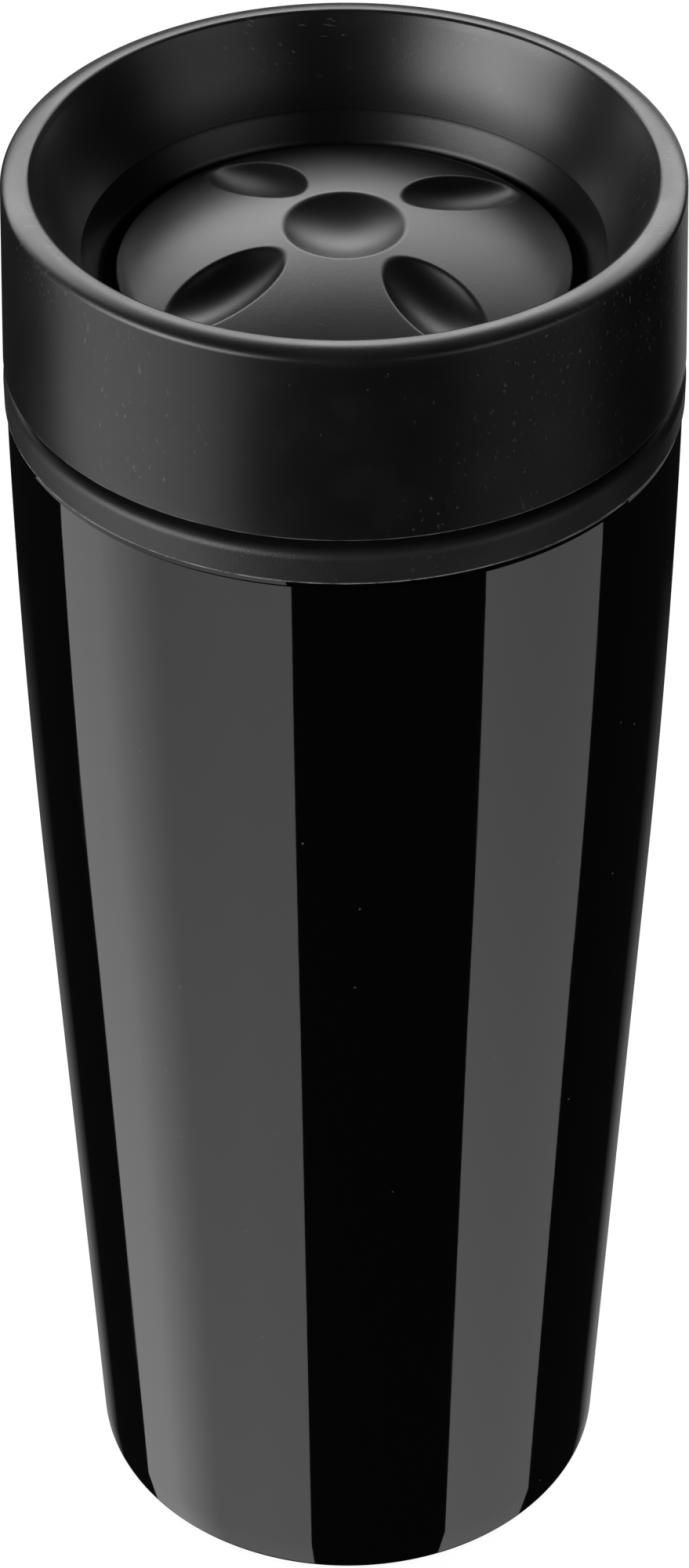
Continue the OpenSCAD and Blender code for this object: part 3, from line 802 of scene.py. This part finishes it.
def coil(name, mean_r, wire_r, low_z, high_z, turns, per_turn=72, around=16):
    """Round wire wound into a coil whose wire centre climbs from low_z to high_z."""
    count = turns * per_turn
    points = []
    for i in range(count + 1):
        angle, z = 2 * math.pi * i / per_turn, low_z + (high_z - low_z) * i / count
        for b in np.linspace(0, 2 * math.pi, around, endpoint=False):
            r = mean_r + wire_r * math.cos(b)
            points.append((r * math.cos(angle), r * math.sin(angle), z + wire_r * math.sin(b)))
    faces = ring_faces(count + 1, around)
    last = count * around
    faces += [tuple(range(around)), tuple(range(last + around - 1, last - 1, -1))]
    return make_object(name, points, faces)


# The spring stands at its pressed height, so that its top stays under the button at every position
spring_low, spring_high = (corner.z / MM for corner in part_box("return_spring"))
press = next(j for j in frame["record"]["behaviour"]["joints"] if j["name"] == "button_press")
PRESS_TRAVEL = max(abs(end) for end in press["range_m"]) / MM
finish_piece(coil("coiled_wire", SPRING_MEAN_R, SPRING_WIRE_R, spring_low + SPRING_WIRE_R,
                  spring_high - PRESS_TRAVEL - SPRING_WIRE_R, SPRING_TURNS), "return_spring")

# ---------------------------------------------------------------- stage, light and camera


TENT_R = 1.5          # metres from the tumbler to the glowing cards
TENT_Z = 0.1


def glow_material(name):
    """Light given off as the mesh's glow attribute says, from a card that hides nothing behind it."""
    material = bpy.data.materials.new(name)
    material.use_nodes = True
    tree = material.node_tree
    tree.nodes.clear()
    amount = tree.nodes.new("ShaderNodeAttribute")
    amount.attribute_name = "glow"
    emission = tree.nodes.new("ShaderNodeEmission")
    see_through = tree.nodes.new("ShaderNodeBsdfTransparent")
    both = tree.nodes.new("ShaderNodeAddShader")
    output = tree.nodes.new("ShaderNodeOutputMaterial")
    tree.links.new(amount.outputs["Fac"], emission.inputs["Strength"])
    tree.links.new(emission.outputs["Emission"], both.inputs[0])
    tree.links.new(see_through.outputs["BSDF"], both.inputs[1])
    tree.links.new(both.outputs["Shader"], output.inputs["Surface"])
    return material


def glow_card(name, turn_from, turn_to, rise_from, rise_to, glow, lights):
    """A glowing piece of a sphere round the tumbler, unseen by the camera.

    Turns are degrees from the front towards the left, rises are degrees above the horizon, and
    glow(turn, rise) is the radiance. Only the pieces in the collection lights receive it.
    """
    turns = np.linspace(turn_from, turn_to, 33)
    rises = np.linspace(rise_from, rise_to, 25)
    points, values = [], []
    for rise in rises:
        for turn in turns:
            t, r = math.radians(turn), math.radians(rise)
            points.append((-math.sin(t) * math.cos(r) * TENT_R, -math.cos(t) * math.cos(r) * TENT_R,
                           TENT_Z + math.sin(r) * TENT_R))
            values.append(glow(turn, rise))
    n = len(turns)
    faces = [(i * n + k, i * n + k + 1, (i + 1) * n + k + 1, (i + 1) * n + k)
             for i in range(len(rises) - 1) for k in range(n - 1)]
    mesh = bpy.data.meshes.new(name)
    mesh.from_pydata(points, [], faces)
    mesh.attributes.new("glow", "FLOAT", "POINT").data.foreach_set("value", values)
    mesh.materials.append(glow_material(name))
    piece = bpy.data.objects.new(name, mesh)
    bpy.context.scene.collection.objects.link(piece)
    piece.visible_camera = False
    piece.visible_shadow = False
    piece.light_linking.receiver_collection = lights


def steps(*stops):
    """A function that goes linearly through (place, value) stops."""
    places, values = zip(*stops)
    return lambda x: float(np.interp(x, places, values))


def soft_spot(turn, rise, half_turn, half_rise, peak):
    """A glow that is full in its middle and fades to nothing at its edges."""
    def glow(t, r):
        across, up = (t - turn) / half_turn, (r - rise) / half_rise
        return peak * max(0.0, 1 - across ** 2) * max(0.0, 1 - up ** 2)
    return glow


def overhead_softbox(name, location, aim, size, radiance):
    """A square area light that points at aim and isn't mirrored by glossy surfaces."""
    light = bpy.data.lights.new(name, "AREA")
    light.shape = "SQUARE"
    light.size = size
    light.energy = radiance * math.pi * size * size
    lamp = bpy.data.objects.new(name, light)
    lamp.location = location
    lamp.rotation_euler = (Vector(aim) - Vector(location)).to_track_quat("-Z", "Y").to_euler()
    lamp.visible_glossy = False
    lamp.visible_camera = False
    bpy.context.scene.collection.objects.link(lamp)


lacquered = bpy.data.collections.new("lacquered")
lacquered.objects.link(shell)
moulded = bpy.data.collections.new("moulded")
for piece in list(bpy.context.scene.objects):
    if piece.type == "MESH" and piece is not shell:
        moulded.objects.link(piece)
lid_only = bpy.data.collections.new("lid_only")
lid_only.objects.link(cover)
all_but_lid = bpy.data.collections.new("all_but_lid")
for piece in moulded.objects:
    if piece is not cover:
        all_but_lid.objects.link(piece)



def rim_glow(turn, rise):
    """The light behind the lid: its lower edge is highest straight behind and dips towards both sides."""
    lower_edge = 32.5 - 0.55 * abs(turn - 178)
    return 7.4 * float(np.clip((rise - lower_edge) / 3, 0, 1) * np.clip((56 - rise) / 10, 0, 1))


# What the lacquer mirrors: a wide softbox on the left, a narrow one on the right, and a low glow behind
left_mirror = steps((18, 1.35), (40, 1.27), (66, 1.03), (80, 1.42), (92, 1.65), (112, 1.15))
right_mirror = steps((-97, 0.72), (-72, 0.98), (-48, 1.28))
low_glow = steps((-60, 0.34), (-46, 0.2), (-34, 0.0))
edge_fade = steps((142, 0.0), (156, 1.0), (204, 1.0), (218, 0.0))
rim_turn = steps((116, 0.0), (136, 0.6), (165, 0.7), (178, 1.0), (191, 0.7), (220, 0.6), (240, 0.0))
left_blur = steps((36, 0.7), (50, 1.1), (80, 1.45), (106, 1.0))
glow_card("left_gloss", 18, 112, -62, 20, lambda t, r: left_mirror(t), lacquered)
glow_card("right_gloss", -97, -48, -62, 0, lambda t, r: right_mirror(t), lacquered)
glow_card("low_backdrop", 142, 218, -62, -34, lambda t, r: low_glow(r) * edge_fade(t), lacquered)
glow_card("rear_gloss", 195, 262, -28, 30, lambda t, r: 0.8, lacquered)
# What the plastic shows: the same softboxes blurred, a strong one high on the left and one behind
glow_card("left_soft", 36, 106, -62, 0, lambda t, r: left_blur(t), moulded)
glow_card("left_high", 28, 96, 0, 40, soft_spot(58, 19, 36, 20, 9.0), moulded)
glow_card("right_soft", -88, -40, -62, 0, lambda t, r: 0.16, moulded)
glow_card("right_high", -84, -24, 2, 42, soft_spot(-52, 22, 30, 20, 1.1), moulded)
glow_card("rear_high", 130, 230, 14, 58, soft_spot(176, 35, 46, 22, 5.5), all_but_lid)
glow_card("rim_light", 116, 240, 6, 56, lambda t, r: rim_glow(t, r) * rim_turn(t), lid_only)
glow_card("backdrop", 150, 210, -4, 14, lambda t, r: 0.22, moulded)
glow_card("rear_fill", 192, 212, -40, 6, lambda t, r: 0.4, moulded)
overhead_softbox("top_softbox", (0, 0.2, 1.6), (0, 0, 0.1), 1.2, 1.0)

FLOOR_HALF = 6.0      # metres
floor_corners = [(x * FLOOR_HALF, y * FLOOR_HALF, 0) for x, y in ((-1, -1), (1, -1), (1, 1), (-1, 1))]
floor_mesh = bpy.data.meshes.new("pale_floor")
floor_mesh.from_pydata(floor_corners, [], [(0, 1, 2, 3)])
floor = bpy.data.objects.new("pale_floor", floor_mesh)
bpy.context.scene.collection.objects.link(floor)
floor_look = Shader("pale_floor", (0.86, 0.86, 0.86), 0.9)
floor_look.set("Emission Color", (1, 1, 1, 1))
floor_look.set("Emission Strength", 0.95)
floor_mesh.materials.append(floor_look.material)
floor.visible_glossy = False
floor.visible_shadow = False

world = bpy.data.worlds.new("studio")
bpy.context.scene.world = world
world.use_nodes = True
sky = world.node_tree.nodes["Background"]
path = world.node_tree.nodes.new("ShaderNodeLightPath")
shade = world.node_tree.nodes.new("ShaderNodeMix")
shade.data_type = "RGBA"
shade.inputs["A"].default_value = (0.006, 0.006, 0.006, 1)
shade.inputs["B"].default_value = (1, 1, 1, 1)
world.node_tree.links.new(path.outputs["Is Camera Ray"], shade.inputs["Factor"])
world.node_tree.links.new(shade.outputs["Result"], sky.inputs["Color"])

scene = bpy.context.scene
scene.view_settings.view_transform = "Standard"
camera_data = bpy.data.cameras.new("camera")
camera_data.lens = 108
camera_data.sensor_width = 36
camera = bpy.data.objects.new("camera", camera_data)
scene.collection.objects.link(camera)
CAMERA_DOWN = 0.6704
CAMERA_ROLL = -0.0035
camera.location = (-0.0002, -0.47665, LID_Z * MM + 0.31024)
tilt = Euler((math.pi / 2 - CAMERA_DOWN, 0, 0)).to_matrix() @ Matrix.Rotation(CAMERA_ROLL, 3, "Z")
camera.rotation_euler = tilt.to_euler()
scene.camera = camera
